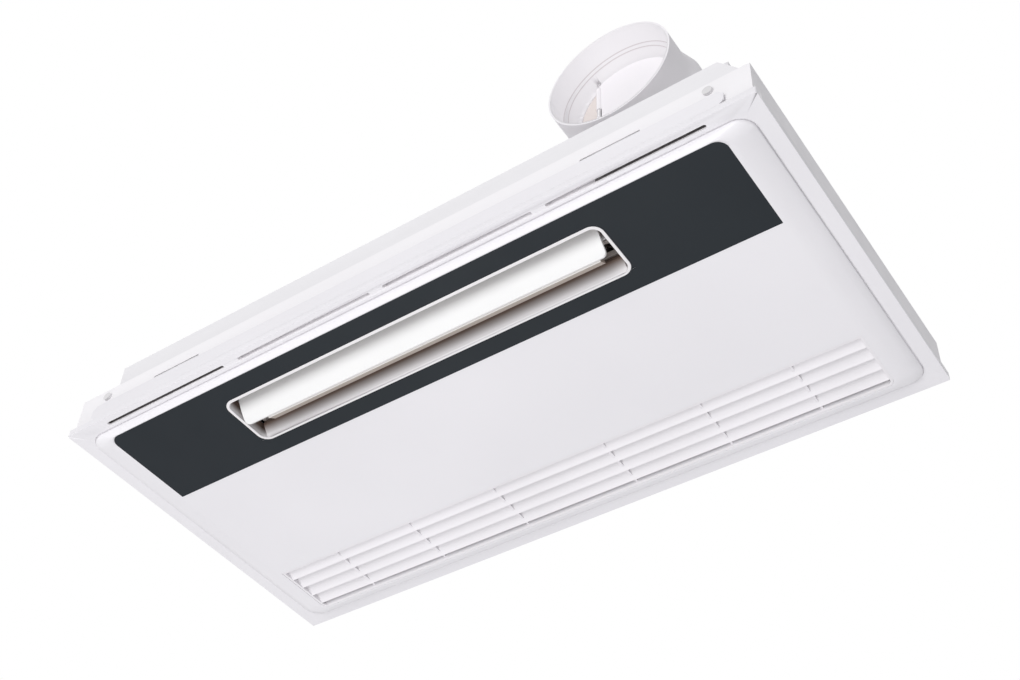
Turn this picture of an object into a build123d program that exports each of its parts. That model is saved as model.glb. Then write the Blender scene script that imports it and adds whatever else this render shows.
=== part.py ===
from build123d import *
import os
from math import cos, pi, radians, sin, sqrt

os.makedirs("parts", exist_ok=True)

# The ceiling plane is z = 0, with +Z up into the ceiling void and the long side along X.
# The louver and the duct are on the -Y side, the intake grille on the +Y side.

# Clearances
slip_gap = 0.15
seat_gap = 0.3
running_gap = 0.05

# Face panel
panel_length = 600
panel_width = 300
panel_corner = 1.5
flange_thickness = 6
raise_height = 6
raise_foot = 1.5
raise_inset = 12
raise_corner = 13
flat_corner = 9
shoulder_end = 20
shoulder_near = 3.5
shoulder_far = 10
panel_wall = 2.4
groove_width = 1.2
groove_depth = 0.8

# Slits and skirt of the panel's long sides
slit_width = 3
slit_from_edge = 6.3
slit_end_margin = 38
slit_outer_end = panel_length / 2 - slit_end_margin
slit_ends = ((-slit_outer_end, -142), (-128, -5), (6.5, 131), (142, slit_outer_end))
skirt_end_margin = 22
skirt_height = 14
skirt_wall = 1.2
skirt_from_edge = 0.4
skirt_end_cut = 4

# Inlay and outlet
inlay_width = 82.3
inlay_thickness = 1.2
outlet_length = 332
outlet_width = 49.6
outlet_from_edge = 41.3
bezel_rim = 0.8
bezel_lip = 0.9
bezel_wall = 1.3
bezel_corner = 9
bezel_slope_width = 7.3
bezel_slope_depth = 8.8

# Louver
louver_length = 319
louver_near = 16
louver_far = 18.4
louver_drop = 7.6
louver_belly = 2.8
louver_wall = 2.2
louver_pivot_offset = 4.3
louver_pivot_z = -1.5
louver_open = 55
louver_corner = 4
louver_lip_depth = 8
louver_lip_start = 20
arm_wall = 2.5
arm_inset = 4
hub_radius = 4.4
idler_radius = 2
drive_radius = 2.5
louver_motor_radius = 12
louver_motor_depth = 19
louver_motor_offset = 7
louver_motor_ear_span = 31
louver_motor_ear_radius = 3.5
louver_motor_ear_wall = 1
louver_screw_radius = 1.9

# Intake grille
grille_end_margin = 1
grille_far_margin = 0.4
grille_width = 58.6
grille_corner = 6
slat_count = 4
slat_pitch = 12.9
slat_run = 14
slat_rise = 7.8
slat_wall = 1.5
grille_setback = 0.3
grille_frame_wall = 2
grille_slope_width = 4
grille_lip = 4
rib_wall = 1.8
rib_setback = 1.6
rib_places = (51.2, 135.2, 210.2)

# Mounting frame
frame_inset = 3
frame_height = 31
frame_wall = 1.2
frame_lip = 18
near_lip_start = -136
near_lip_end = 180
fixing_spacing_y = 200
fixing_radius = 2.75
clip_slot_length = 46
clip_slot_height = 6
clip_slot_z = 13.5
clip_slot_x = 193.5
clip_length = 27
clip_foot = 6
clip_wall = 1.2
clip_nose = 2.6
bracket_reach = 36
bracket_wall = 1
bracket_screw_z = 22
bracket_screw_inset = 30
screw_head_radius = 3.5
screw_head_height = 2.2
screw_shank_radius = 2

# Housing
shell_wall = 2
tray_left_gap = 29
tray_right_gap = 25
tray_side_gap = 7
tray_height = 60
box_right_gap = 24
box_width = 205
box_height = 172
box_rim = 12
cover_wall = 1.2
base_wall = 1
intake_margin = 9
intake_left_gap = 6
intake_right_gap = 17

# Duct spigot
spigot_offset = 6.6
spigot_z = 118
spigot_radius = 50
spigot_wall = 2
spigot_reach = 72.4
spigot_straight = 18
spigot_socket = 24
spigot_flare = 4.9
spigot_flare_length = 14
spigot_bore = 45
spigot_plate = 110
spigot_plate_wall = 2.5
flap_depth = 27
flap_radius = 41.2
flap_wall = 1.5
flap_chord = 24
flap_seat_width = 5
flap_pin_radius = 0.9
flap_knuckle_radius = 2.2
flap_spring_length = 9

# Room-air blower
rotor_from_duct = 47.5
rotor_z = 36
rotor_radius = 28
rotor_blade_depth = 7
rotor_length = 300
rotor_blades = 20
rotor_blade_wall = 1.2
rotor_blade_lean = 12
rotor_disc_wall = 2.5
rotor_rings = 1
rotor_shaft_radius = 4
casing_wall = 2
casing_gap = 3
casing_end_wall = 1.8
casing_end_gap = 11.5
casing_mouth_angle = 50
casing_crown_angle = 98
casing_shoulder_angle = 150
casing_tongue_angle = 235
casing_shoulder_gap = 8
duct_rear_offset = 15.7
casing_foot = 9
bearing_radius = 8
bearing_length = 9
blower_motor_radius = 24
blower_motor_length = 34
blower_bracket_wall = 1.5

# Heater
heater_z = 16
heater_height = 12
heater_rail = 3
heater_fins = 32
heater_fin_wall = 0.8
heater_bar_width = 5

# Exhaust blower
wheel_from_end = 54
wheel_y = 12
wheel_radius = 40
wheel_height = 38
wheel_blades = 20
wheel_blade_depth = 7
wheel_blade_wall = 1.1
wheel_blade_lean = 9
wheel_disc_wall = 2
wheel_shaft_radius = 3
scroll_z = 94
scroll_height = 48
scroll_gap = 4
scroll_step = 4.4
scroll_wall = 2
scroll_turns = 5
scroll_start = -45
scroll_turn = 45
scroll_inlet = 31
scroll_flange = 106
exhaust_motor_radius = 30
exhaust_motor_height = 25

# Controls
control_from_end = 50
control_y = 34
control_length = 84
control_width = 46
control_height = 38
control_wall = 1.6
board_wall = 1.6
terminal_length = 46
terminal_width = 20
terminal_height = 14
gland_z = 50
gland_bore = 4.5
gland_radius = 10
gland_thread = 8
gland_reach = 20
receiver_x = -215
receiver_length = 40
receiver_width = 20

# Levels and lines that follow from those sizes
flange_front = -flange_thickness
face_z = flange_front - raise_height
foot_half_x = panel_length / 2 - raise_inset
foot_half_y = panel_width / 2 - raise_inset
flat_half_x = foot_half_x - shoulder_end
flat_near_y = -foot_half_y + shoulder_near
flat_far_y = foot_half_y - shoulder_far
inlay_floor_z = face_z + inlay_thickness
cavity_z = inlay_floor_z + panel_wall
slit_y = -panel_width / 2 + slit_from_edge
skirt_y = panel_width / 2 - skirt_from_edge - skirt_wall / 2
skirt_length = panel_length - 2 * skirt_end_margin
outlet_y = flat_near_y + outlet_from_edge
louver_pivot_y = outlet_y - louver_pivot_offset
grille_half = flat_half_x - grille_end_margin
grille_far_y = flat_far_y - grille_far_margin
grille_near_y = grille_far_y - grille_width
frame_length = panel_length - 2 * frame_inset
frame_width = panel_width - 2 * frame_inset
frame_half_x = frame_length / 2
frame_half_y = frame_width / 2
tray_left = tray_left_gap - frame_half_x
tray_right = frame_half_x - tray_right_gap
tray_width = frame_width - 2 * tray_side_gap
tray_half_y = tray_width / 2
gusset_reach = tray_right_gap - frame_wall - 2 * seat_gap
box_right = tray_right - box_right_gap
box_back = tray_half_y
box_front = box_back - box_width
control_x = tray_left + control_from_end
wheel_x = box_right - wheel_from_end
spigot_x = wheel_x - spigot_offset
spigot_rim_y = box_front - spigot_reach
duct_rear_y = outlet_y + duct_rear_offset
rotor_y = duct_rear_y + rotor_from_duct
casing_half = rotor_length / 2 + casing_end_gap
intake_near_y = grille_near_y - intake_margin
intake_far_y = grille_far_y
intake_left = control_x + control_length / 2 + intake_left_gap
intake_right = tray_right - intake_right_gap
plate_z = frame_wall
floor_z = plate_z + base_wall


def inlay_outline(gap):
    """Outline of the inlay's recess, drawn in by a gap, rounded at its two outer corners."""
    with BuildSketch(mode=Mode.PRIVATE) as outline:
        with Locations((0, flat_near_y + inlay_width / 2)):
            Rectangle(2 * (flat_half_x - gap), inlay_width - 2 * gap)
        fillet(vertices().group_by(Axis.Y)[0], flat_corner - gap)
    return outline.sketch


def outlet_outline(inset):
    """Outline of the outlet bezel, drawn in by an inset."""
    with BuildSketch(mode=Mode.PRIVATE) as outline:
        with Locations((0, outlet_y)):
            RectangleRounded(outlet_length - 2 * inset, outlet_width - 2 * inset, bezel_corner - inset)
    return outline.sketch


def grille_outline(inset):
    """Outline of the intake aperture, drawn in by an inset, rounded at its far corners."""
    with BuildSketch(mode=Mode.PRIVATE) as outline:
        with Locations((0, (grille_near_y + grille_far_y) / 2)):
            Rectangle(2 * (grille_half - inset), grille_far_y - grille_near_y - 2 * inset)
        fillet(vertices().group_by(Axis.Y)[-1], grille_corner - inset)
    return outline.sketch


# Face panel: a flange, and a raised centre whose shoulder swells to a flat face
def raised_section(share):
    """Half sizes, centre and level of the raised centre at a share of its shoulder."""
    half_x = foot_half_x - shoulder_end * share
    near_y = -foot_half_y + shoulder_near * share
    far_y = foot_half_y - shoulder_far * share
    swell = (raise_height - raise_foot) * sin(share * pi / 2)
    corner = raise_corner + (flat_corner - raise_corner) * share
    return half_x, near_y, far_y, flange_front - raise_foot - swell, corner


with BuildPart() as face_panel:
    with BuildSketch(Plane.XY.offset(flange_front)):
        RectangleRounded(panel_length, panel_width, panel_corner)
    extrude(amount=flange_thickness)
    with BuildSketch(Plane.XY.offset(flange_front)):
        RectangleRounded(2 * foot_half_x, 2 * foot_half_y, raise_corner)
    extrude(amount=-raise_foot)
    for step in range(4):
        half_x, near_y, far_y, level, corner = raised_section(step / 3)
        with BuildSketch(Plane((0, (near_y + far_y) / 2, level))):
            RectangleRounded(2 * half_x, far_y - near_y, corner)
    loft()
    # groove round the foot of the raised centre
    with BuildSketch(Plane.XY.offset(flange_front)):
        RectangleRounded(2 * (foot_half_x + groove_width), 2 * (foot_half_y + groove_width),
                         raise_corner + groove_width)
        RectangleRounded(2 * foot_half_x, 2 * foot_half_y, raise_corner, mode=Mode.SUBTRACT)
    extrude(amount=groove_depth, mode=Mode.SUBTRACT)
    # hollow back, in two steps that follow the shoulder
    with BuildSketch(Plane((0, (flat_near_y + flat_far_y) / 2, cavity_z))):
        RectangleRounded(2 * flat_half_x - 2 * panel_wall, flat_far_y - flat_near_y - 2 * panel_wall, flat_corner)
    extrude(amount=-cavity_z, mode=Mode.SUBTRACT)
    with BuildSketch(Plane.XY.offset(flange_front + panel_wall)):
        RectangleRounded(2 * (foot_half_x - panel_wall), 2 * (foot_half_y - panel_wall), raise_corner)
    extrude(amount=flange_thickness, mode=Mode.SUBTRACT)
    # recess for the inlay, and the two apertures
    with BuildSketch(Plane.XY.offset(inlay_floor_z)):
        add(inlay_outline(0))
    extrude(amount=-inlay_thickness - 1, mode=Mode.SUBTRACT)
    with BuildSketch(Plane.XY.offset(face_z - 1)):
        add(outlet_outline(bezel_lip))
        add(grille_outline(0))
    extrude(amount=1 - face_z, mode=Mode.SUBTRACT)
    # slits in the flange below the louver side
    with BuildSketch(Plane.XY.offset(flange_front)):
        for start, end in slit_ends:
            with Locations(((start + end) / 2, slit_y)):
                SlotOverall(end - start, slit_width)
    extrude(amount=flange_thickness, mode=Mode.SUBTRACT)
    # skirts that stand up outside the mounting frame
    with BuildSketch(Plane.XZ.offset(skirt_y), Plane.XZ.offset(-skirt_y)):
        with Locations((0, skirt_height / 2)):
            Rectangle(skirt_length, skirt_height)
        chamfer(vertices().group_by(Axis.Z)[-1], skirt_end_cut)
    extrude(amount=skirt_wall / 2, both=True)
face_panel.part.label = "face_panel"
export_step(face_panel.part, "parts/face_panel.step")

# Dark inlay, flush in its recess
with BuildPart() as dark_inlay:
    with BuildSketch(Plane.XY.offset(face_z)):
        add(inlay_outline(slip_gap))
        add(outlet_outline(bezel_lip), mode=Mode.SUBTRACT)
    extrude(amount=inlay_thickness)
dark_inlay.part.label = "dark_inlay"
export_step(dark_inlay.part, "parts/dark_inlay.step")

# Outlet bezel: a proud rim, a collar through the panel, the pin's boss and the motor's plate
bezel_front = face_z - bezel_rim
collar_inset = bezel_lip + slip_gap
collar_end = outlet_length / 2 - collar_inset
collar_near = outlet_y - outlet_width / 2 + collar_inset
collar_far = outlet_y + outlet_width / 2 - collar_inset
pocket_end = collar_end - bezel_wall
pocket_near = collar_near + bezel_wall
pocket_far = collar_far - slip_gap - bezel_rim
slope_foot = pocket_far - bezel_slope_width
slope_z = bezel_front + bezel_slope_depth
pivot = (louver_pivot_y, louver_pivot_z)
motor_axis_z = louver_pivot_z + louver_motor_offset
ear_half_y = louver_motor_ear_span / 2 + louver_motor_ear_radius
with BuildPart() as outlet_bezel:
    with BuildSketch(Plane.XY.offset(bezel_front)):
        add(outlet_outline(0))
    extrude(amount=bezel_rim)
    with BuildSketch(Plane.XY.offset(face_z)):
        add(outlet_outline(collar_inset))
    extrude(amount=-seat_gap - face_z)
    with BuildSketch(Plane((0, (pocket_near + pocket_far) / 2, bezel_front))):
        RectangleRounded(2 * pocket_end, pocket_far - pocket_near, bezel_corner - collar_inset - bezel_wall)
    extrude(amount=-bezel_front, mode=Mode.SUBTRACT)
    # sloping far wall
    with BuildSketch(Plane.YZ):
        Polygon((pocket_far, bezel_front), (slope_foot, slope_z), (slope_foot, -seat_gap), (pocket_far, -seat_gap),
                align=None)
    extrude(amount=pocket_end - 2 * bezel_wall, both=True)
    # boss for the idler pin
    with BuildSketch(Plane.YZ.offset(-pocket_end)):
        with Locations(pivot):
            Circle(idler_radius + bezel_wall)
    extrude(amount=pocket_end - louver_length / 2 - seat_gap)
    with BuildSketch(Plane.YZ.offset(-collar_end)):
        with Locations(pivot):
            Circle(idler_radius + running_gap)
    extrude(amount=collar_end - louver_length / 2, mode=Mode.SUBTRACT)
    # plate for the louver motor, with its shaft and screw holes
    with BuildSketch(Plane.YZ.offset(pocket_end)):
        with Locations((louver_pivot_y, (motor_axis_z + louver_motor_ear_radius - seat_gap) / 2)):
            Rectangle(2 * ear_half_y, motor_axis_z + louver_motor_ear_radius + seat_gap)
    extrude(amount=bezel_wall)
    with BuildSketch(Plane.YZ.offset(pocket_end)):
        with Locations(pivot):
            Circle(drive_radius + seat_gap)
        with Locations((louver_pivot_y, motor_axis_z)):
            with GridLocations(louver_motor_ear_span, 0, 2, 1):
                Circle(louver_screw_radius)
    extrude(amount=bezel_wall, mode=Mode.SUBTRACT)
outlet_bezel.part.label = "outlet_bezel"
export_step(outlet_bezel.part, "parts/outlet_bezel.step")


# Swing louver: a bowed blade with an arm and a hub near each end, drawn in its open pose
def louver_plane(x):
    """The plane across the louver at x, turned with it to the open pose."""
    turn = radians(-louver_open)
    return Plane(origin=(x, louver_pivot_y, louver_pivot_z), x_dir=(0, cos(turn), sin(turn)), z_dir=(1, 0, 0))


arm_inner = louver_length / 2 - arm_inset - arm_wall
blade_mid = (louver_far - louver_near) / 2
blade_back = louver_drop - louver_wall
with BuildPart() as swing_louver:
    with BuildSketch(louver_plane(-louver_length / 2)):
        with BuildLine():
            ThreePointArc((-louver_near, -louver_drop), (blade_mid, -louver_drop - louver_belly),
                          (louver_far, -louver_drop))
            Line((louver_far, -louver_drop), (louver_far, -blade_back))
            ThreePointArc((louver_far, -blade_back), (blade_mid, -blade_back - louver_belly),
                          (-louver_near, -blade_back))
            Line((-louver_near, -blade_back), (-louver_near, -louver_drop))
        make_face()
        fillet(vertices(), louver_wall / 3)
    extrude(amount=louver_length)
    # rounded corners
    with BuildSketch(Plane(origin=louver_plane(0).origin, x_dir=(1, 0, 0), z_dir=-louver_plane(0).y_dir)):
        with Locations((0, blade_mid)):
            RectangleRounded(louver_length, louver_near + louver_far, louver_corner)
    extrude(amount=2 * louver_drop, mode=Mode.INTERSECT)
    # lip turned up behind the lower edge
    with BuildSketch(louver_plane(louver_lip_start - louver_length / 2)):
        with Locations((louver_far - louver_wall, louver_lip_depth / 2 - louver_drop + louver_wall / 2)):
            Rectangle(louver_wall, louver_lip_depth)
    extrude(amount=arm_inner + louver_length / 2 - louver_lip_start)
    with BuildSketch(louver_plane(-arm_inner - arm_wall), louver_plane(arm_inner)):
        Circle(hub_radius)
        Polygon((-hub_radius, 0), (-2 * hub_radius, -louver_drop), (0, -louver_drop - louver_wall / 2),
                (2 * hub_radius, -louver_drop), (hub_radius, 0), align=None)
    extrude(amount=arm_wall)
    with BuildSketch(louver_plane(-arm_inner - arm_wall)):
        Circle(idler_radius + running_gap)
    extrude(amount=arm_wall, mode=Mode.SUBTRACT)
    with BuildSketch(louver_plane(arm_inner)):
        Circle(drive_radius + running_gap)
    extrude(amount=arm_wall, mode=Mode.SUBTRACT)
swing_louver.part.label = "swing_louver"
export_step(swing_louver.part, "parts/swing_louver.step")

# Idler pin at the -X end of the louver
with BuildPart() as louver_idler_pin:
    with BuildSketch(Plane.YZ.offset(-collar_end)):
        with Locations(pivot):
            Circle(idler_radius)
    extrude(amount=collar_end - arm_inner)
louver_idler_pin.part.label = "louver_idler_pin"
export_step(louver_idler_pin.part, "parts/louver_idler_pin.step")

# Drive shaft and gear motor at the +X end
shaft_depth = louver_motor_depth / 2
with BuildPart() as louver_drive_shaft:
    with BuildSketch(Plane.YZ.offset(arm_inner)):
        with Locations(pivot):
            Circle(drive_radius)
    extrude(amount=collar_end + shaft_depth - seat_gap - arm_inner)
louver_drive_shaft.part.label = "louver_drive_shaft"
export_step(louver_drive_shaft.part, "parts/louver_drive_shaft.step")

with BuildPart() as louver_motor:
    with BuildSketch(Plane.YZ.offset(collar_end)):
        with Locations((louver_pivot_y, motor_axis_z)):
            Circle(louver_motor_radius)
    extrude(amount=louver_motor_depth)
    with BuildSketch(Plane.YZ.offset(collar_end)):
        with Locations((louver_pivot_y, motor_axis_z)):
            SlotOverall(2 * ear_half_y, 2 * louver_motor_ear_radius)
            with GridLocations(louver_motor_ear_span, 0, 2, 1):
                Circle(louver_screw_radius, mode=Mode.SUBTRACT)
    extrude(amount=louver_motor_ear_wall)
    with BuildSketch(Plane.YZ.offset(collar_end)):
        with Locations(pivot):
            Circle(drive_radius + running_gap)
    extrude(amount=shaft_depth, mode=Mode.SUBTRACT)
louver_motor.part.label = "louver_motor"
export_step(louver_motor.part, "parts/louver_motor.step")

# Intake grille: a collar and lip, slanting slats and low cross ribs
grille_front = face_z + grille_setback
grille_back = flange_front + panel_wall
insert_half = grille_half - slip_gap
insert_near = grille_near_y + slip_gap
insert_far = grille_far_y - slip_gap
rib_front = grille_front + rib_setback
with BuildPart() as intake_grille:
    with BuildSketch(Plane.YZ):
        for row in range(slat_count):
            slat_y = grille_near_y + slat_pitch * (row + 1)
            Polygon((slat_y, grille_front), (slat_y, grille_front + slat_wall),
                    (slat_y - slat_run, grille_front + slat_rise),
                    (slat_y - slat_run, grille_front + slat_rise - slat_wall), align=None)
        Polygon((insert_far, grille_front), (insert_far, grille_back),
                (insert_far - grille_frame_wall - grille_slope_width, grille_back),
                (insert_far - grille_frame_wall, grille_front), align=None)
    extrude(amount=insert_half, both=True)
    with BuildSketch(Plane.XY.offset(rib_front)):
        for place in rib_places:
            with Locations((-place, (insert_near + insert_far) / 2), (place, (insert_near + insert_far) / 2)):
                Rectangle(rib_wall, insert_far - insert_near)
    extrude(amount=grille_back - rib_front)
    with BuildSketch(Plane.XY.offset(grille_front)):
        add(grille_outline(slip_gap))
    extrude(amount=grille_back - grille_front, mode=Mode.INTERSECT)
    with BuildSketch(Plane.XY.offset(grille_front)):
        add(grille_outline(slip_gap))
        add(grille_outline(slip_gap + grille_frame_wall), mode=Mode.SUBTRACT)
    extrude(amount=grille_back - grille_front + slat_wall)
    with BuildSketch(Plane.XY.offset(grille_back)):
        with Locations((0, (insert_near + insert_far + grille_lip) / 2)):
            Rectangle(2 * (insert_half + grille_lip), insert_far + grille_lip - insert_near)
        add(grille_outline(slip_gap + grille_frame_wall), mode=Mode.SUBTRACT)
    extrude(amount=slat_wall)
intake_grille.part.label = "intake_grille"
export_step(intake_grille.part, "parts/intake_grille.step")

# Mounting frame: an upright ring with a lip that lies on the panel's flange
slot_mid_z = clip_slot_z + clip_slot_height / 2
fixing_x = frame_half_x - frame_lip / 2
screw_x = frame_half_x - bracket_screw_inset
clip_y = frame_half_y - frame_wall - bracket_wall - clip_nose
with BuildPart() as mounting_frame:
    with BuildSketch():
        Rectangle(frame_length, frame_width)
        Rectangle(frame_length - 2 * frame_wall, frame_width - 2 * frame_wall, mode=Mode.SUBTRACT)
    extrude(amount=frame_height)
    with BuildSketch():
        Rectangle(frame_length, frame_width)
        Rectangle(frame_length - 2 * frame_lip, frame_width - 2 * frame_lip, mode=Mode.SUBTRACT)
        # the near lip runs only along its middle, so the outer slits stay open
        for start, end in ((frame_lip - frame_half_x, near_lip_start), (near_lip_end, frame_half_x - frame_lip)):
            with Locations(((start + end) / 2, -frame_half_y + (frame_lip + frame_wall) / 2)):
                Rectangle(end - start, frame_lip - frame_wall, mode=Mode.SUBTRACT)
        # notches for the clips on the far side
        with Locations((-clip_slot_x, clip_y - clip_foot / 2), (clip_slot_x, clip_y - clip_foot / 2)):
            Rectangle(clip_length + 2 * seat_gap, 3 * clip_foot, mode=Mode.SUBTRACT)
        with GridLocations(2 * fixing_x, fixing_spacing_y, 2, 2):
            Circle(fixing_radius, mode=Mode.SUBTRACT)
    extrude(amount=frame_wall)
    with BuildSketch(Plane.XZ):
        with Locations((-clip_slot_x, slot_mid_z), (clip_slot_x, slot_mid_z)):
            Rectangle(clip_slot_length, clip_slot_height)
        with Locations((-screw_x, bracket_screw_z), (screw_x, bracket_screw_z)):
            Circle(screw_shank_radius + slip_gap)
    extrude(amount=frame_half_y, both=True, mode=Mode.SUBTRACT)
mounting_frame.part.label = "mounting_frame"
export_step(mounting_frame.part, "parts/mounting_frame.step")

# Spring clips on the back of the panel, hooked through the slots of the frame
with BuildPart() as panel_clips:
    for side in (-1, 1):
        with BuildSketch(Plane.YZ.offset(-clip_slot_x), Plane.YZ.offset(clip_slot_x)):
            Polygon((side * (clip_y - clip_foot), 0), (side * clip_y, 0),
                    (side * clip_y, slot_mid_z - clip_wall),
                    (side * (frame_half_y + seat_gap), slot_mid_z),
                    (side * clip_y, slot_mid_z + clip_wall),
                    (side * (clip_y - clip_wall), slot_mid_z + clip_wall),
                    (side * (clip_y - clip_wall), clip_wall),
                    (side * (clip_y - clip_foot), clip_wall), align=None)
        extrude(amount=clip_length / 2, both=True)
panel_clips.part.label = "panel_clips"
export_step(panel_clips.part, "parts/panel_clips.step")

# Brackets on the ends of the housing's long walls, and the screws that hold them to the frame
bracket_end = frame_half_x - frame_wall - seat_gap
bracket_back = frame_half_y - frame_wall
with BuildPart() as mounting_brackets:
    for side in (-1, 1):
        for end in (-1, 1):
            with BuildSketch(Plane.XY.offset(frame_wall + seat_gap)):
                Polygon((end * (bracket_end - bracket_reach), side * tray_half_y),
                        (end * (bracket_end - bracket_reach), side * bracket_back),
                        (end * bracket_end, side * bracket_back),
                        (end * bracket_end, side * (bracket_back - bracket_wall)),
                        (end * (bracket_end - bracket_reach + bracket_wall), side * (bracket_back - bracket_wall)),
                        (end * (bracket_end - bracket_reach + bracket_wall), side * tray_half_y), align=None)
            extrude(amount=frame_height - frame_wall - 2 * seat_gap)
    with BuildSketch(Plane.XZ):
        with Locations((-screw_x, bracket_screw_z), (screw_x, bracket_screw_z)):
            Circle(screw_shank_radius + slip_gap)
    extrude(amount=frame_half_y, both=True, mode=Mode.SUBTRACT)
mounting_brackets.part.label = "mounting_brackets"
export_step(mounting_brackets.part, "parts/mounting_brackets.step")


def sheet_screw(seat, head, head_height, shank, length):
    """A hexagon-headed screw: the head rises from the seat plane and the shank goes down through it."""
    with BuildPart(mode=Mode.PRIVATE) as screw:
        with BuildSketch(seat):
            Circle(head)
        extrude(amount=head_height)
        with BuildSketch(seat):
            Circle(shank)
        extrude(amount=-length)
    return screw.part


with BuildPart() as frame_screws:
    for end in (-1, 1):
        for side in (-1, 1):
            seat = Plane(origin=(end * screw_x, side * frame_half_y, bracket_screw_z), z_dir=(0, side, 0))
            add(sheet_screw(seat, screw_head_radius, screw_head_height, screw_shank_radius,
                          frame_wall + bracket_wall + seat_gap))
frame_screws.part.label = "frame_screws"
export_step(frame_screws.part, "parts/frame_screws.step")

# Housing tray: walls round the base plate, a top with the upper box's opening, and gussets at the duct end
tray_mid_x = (tray_left + tray_right) / 2
box_mid_x = (tray_left + box_right) / 2
box_mid_y = (box_front + box_back) / 2
box_length = box_right - tray_left
with BuildPart() as housing_tray:
    with BuildSketch(Plane((tray_mid_x, 0, plate_z))):
        Rectangle(tray_right - tray_left, tray_width)
    extrude(amount=tray_height - plate_z)
    with BuildSketch(Plane((tray_mid_x, 0, plate_z))):
        Rectangle(tray_right - tray_left - 2 * shell_wall, tray_width - 2 * shell_wall)
    extrude(amount=tray_height - plate_z - shell_wall, mode=Mode.SUBTRACT)
    with BuildSketch(Plane((box_mid_x, box_mid_y, plate_z))):
        Rectangle(box_length - 2 * shell_wall, box_width - 2 * shell_wall)
    extrude(amount=tray_height, mode=Mode.SUBTRACT)
    # gussets
    with BuildSketch(Plane.XZ):
        Polygon((tray_right - shell_wall, tray_height), (tray_right, tray_height),
                (tray_right + gusset_reach, frame_height), (tray_right + gusset_reach, plate_z + seat_gap),
                (tray_right - shell_wall, plate_z + seat_gap), align=None)
    extrude(amount=tray_half_y, both=True)
    with BuildSketch(Plane((tray_right + gusset_reach / 2, 0, 0))):
        Rectangle(gusset_reach, tray_width - 2 * shell_wall)
    extrude(amount=tray_height, mode=Mode.SUBTRACT)
    # cable entry
    with BuildSketch(Plane((tray_left, control_y, gland_z), x_dir=(0, 1, 0), z_dir=(-1, 0, 0))):
        Circle(gland_thread + slip_gap)
    extrude(amount=-shell_wall, mode=Mode.SUBTRACT)
housing_tray.part.label = "housing_tray"
export_step(housing_tray.part, "parts/housing_tray.step")

# Housing box: four walls that stand on the tray, with a rim turned in at the top and the duct's opening
with BuildPart() as housing_box:
    with BuildSketch(Plane((box_mid_x, box_mid_y, tray_height))):
        Rectangle(box_length, box_width)
    extrude(amount=box_height - tray_height)
    with BuildSketch(Plane((box_mid_x, box_mid_y, tray_height))):
        Rectangle(box_length - 2 * shell_wall, box_width - 2 * shell_wall)
    extrude(amount=box_height - tray_height - shell_wall, mode=Mode.SUBTRACT)
    with BuildSketch(Plane((box_mid_x, box_mid_y, tray_height))):
        Rectangle(box_length - 2 * box_rim, box_width - 2 * box_rim)
    extrude(amount=box_height, mode=Mode.SUBTRACT)
    with BuildSketch(Plane((spigot_x, box_front, spigot_z), x_dir=(1, 0, 0), z_dir=(0, -1, 0))):
        Circle(spigot_bore)
    extrude(amount=-shell_wall, mode=Mode.SUBTRACT)
housing_box.part.label = "housing_box"
export_step(housing_box.part, "parts/housing_box.step")

# Cover welded to the rim of the upper box
with BuildPart() as top_cover:
    with BuildSketch(Plane((box_mid_x, box_mid_y, box_height))):
        Rectangle(box_length, box_width)
    extrude(amount=cover_wall)
top_cover.part.label = "top_cover"
export_step(top_cover.part, "parts/top_cover.step")

# Base plate inside the housing, with its openings for the outlet and the intake
outlet_open_near = collar_near - seat_gap
outlet_open_far = collar_far + seat_gap
outlet_open_left = -collar_end - seat_gap
outlet_open_right = collar_end + louver_motor_depth + seat_gap
with BuildPart() as base_plate:
    with BuildSketch(Plane((tray_mid_x, 0, plate_z))):
        Rectangle(tray_right - tray_left - 2 * (shell_wall + seat_gap), tray_width - 2 * (shell_wall + seat_gap))
    extrude(amount=base_wall)
    with BuildSketch(Plane.XY.offset(plate_z)):
        with Locations(((outlet_open_left + outlet_open_right) / 2, (outlet_open_near + outlet_open_far) / 2)):
            Rectangle(outlet_open_right - outlet_open_left, outlet_open_far - outlet_open_near)
        with Locations(((intake_left + intake_right) / 2, (intake_near_y + intake_far_y) / 2)):
            Rectangle(intake_right - intake_left, intake_far_y - intake_near_y)
    extrude(amount=base_wall, mode=Mode.SUBTRACT)
base_plate.part.label = "base_plate"
export_step(base_plate.part, "parts/base_plate.step")

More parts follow.
